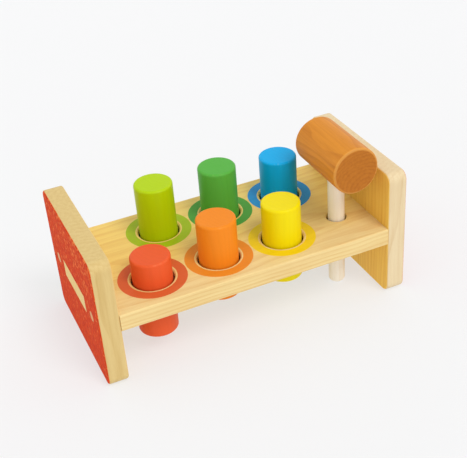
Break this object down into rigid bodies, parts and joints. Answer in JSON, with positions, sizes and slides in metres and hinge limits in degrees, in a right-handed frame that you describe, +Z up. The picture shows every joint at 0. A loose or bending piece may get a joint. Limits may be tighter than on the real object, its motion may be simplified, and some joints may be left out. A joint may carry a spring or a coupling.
{
  "type": "toy hammer bench",
  "caption": "Wooden toy bench: a plank between two end boards, with coloured pegs that a small mallet knocks through it.",
  "frame": {"origin": "on the ground, at the middle of the bench's length and width", "axes": "+X along the bench from the red peg's end to the mallet hole's end, -Y towards the row of red, orange and yellow pegs, +Z up"},
  "size_m": [0.247, 0.121, 0.1335],
  "materials": {
    "end_board_wood": "clear satin lacquer on light wood, painted outer face",
    "plank_wood": "clear satin lacquer on light wood, painted rings round the holes",
    "dowel_wood": "plain beech",
    "red_paint": "satin water-based paint on wood",
    "orange_paint": "satin water-based paint on wood",
    "yellow_paint": "satin water-based paint on wood",
    "lime_paint": "satin water-based paint on wood",
    "green_paint": "satin water-based paint on wood",
    "blue_paint": "satin water-based paint on wood",
    "grip_rubber": "soft matt rubber",
    "head_wood": "clear satin lacquer on warm brown wood",
    "handle_wood": "clear satin lacquer on very pale wood"
  },
  "bodies": {
    "bench": {"left_end_board": "end_board_wood", "right_end_board": "end_board_wood", "plank": "plank_wood", "left_dowels": "dowel_wood", "right_dowels": "dowel_wood", "red_grip_ring": "grip_rubber", "orange_grip_ring": "grip_rubber", "yellow_grip_ring": "grip_rubber", "lime_grip_ring": "grip_rubber", "green_grip_ring": "grip_rubber", "blue_grip_ring": "grip_rubber"},
    "red_peg": {"red_peg": "red_paint"},
    "orange_peg": {"orange_peg": "orange_paint"},
    "yellow_peg": {"yellow_peg": "yellow_paint"},
    "lime_peg": {"lime_peg": "lime_paint"},
    "green_peg": {"green_peg": "green_paint"},
    "blue_peg": {"blue_peg": "blue_paint"},
    "mallet": {"mallet_head": "head_wood", "mallet_handle": "handle_wood"}
  },
  "joints": [
    {"name": "red_peg_slide", "type": "slide", "parent": "bench", "child": "red_peg", "axis": [0, 0, 1], "range_m": [-0.015, 0.0255]},
    {"name": "orange_peg_slide", "type": "slide", "parent": "bench", "child": "orange_peg", "axis": [0, 0, 1], "range_m": [-0.0295, 0.011]},
    {"name": "yellow_peg_slide", "type": "slide", "parent": "bench", "child": "yellow_peg", "axis": [0, 0, 1], "range_m": [-0.027, 0.0135]},
    {"name": "lime_peg_slide", "type": "slide", "parent": "bench", "child": "lime_peg", "axis": [0, 0, 1], "range_m": [-0.038, 0.0025]},
    {"name": "green_peg_slide", "type": "slide", "parent": "bench", "child": "green_peg", "axis": [0, 0, 1], "range_m": [-0.037, 0.0035]},
    {"name": "blue_peg_slide", "type": "slide", "parent": "bench", "child": "blue_peg", "axis": [0, 0, 1], "range_m": [-0.0315, 0.009]},
    {"name": "mallet_lift", "type": "slide", "parent": "bench", "child": "mallet", "axis": [0, 0, 1], "range_m": [0, 0.12]}
  ]
}
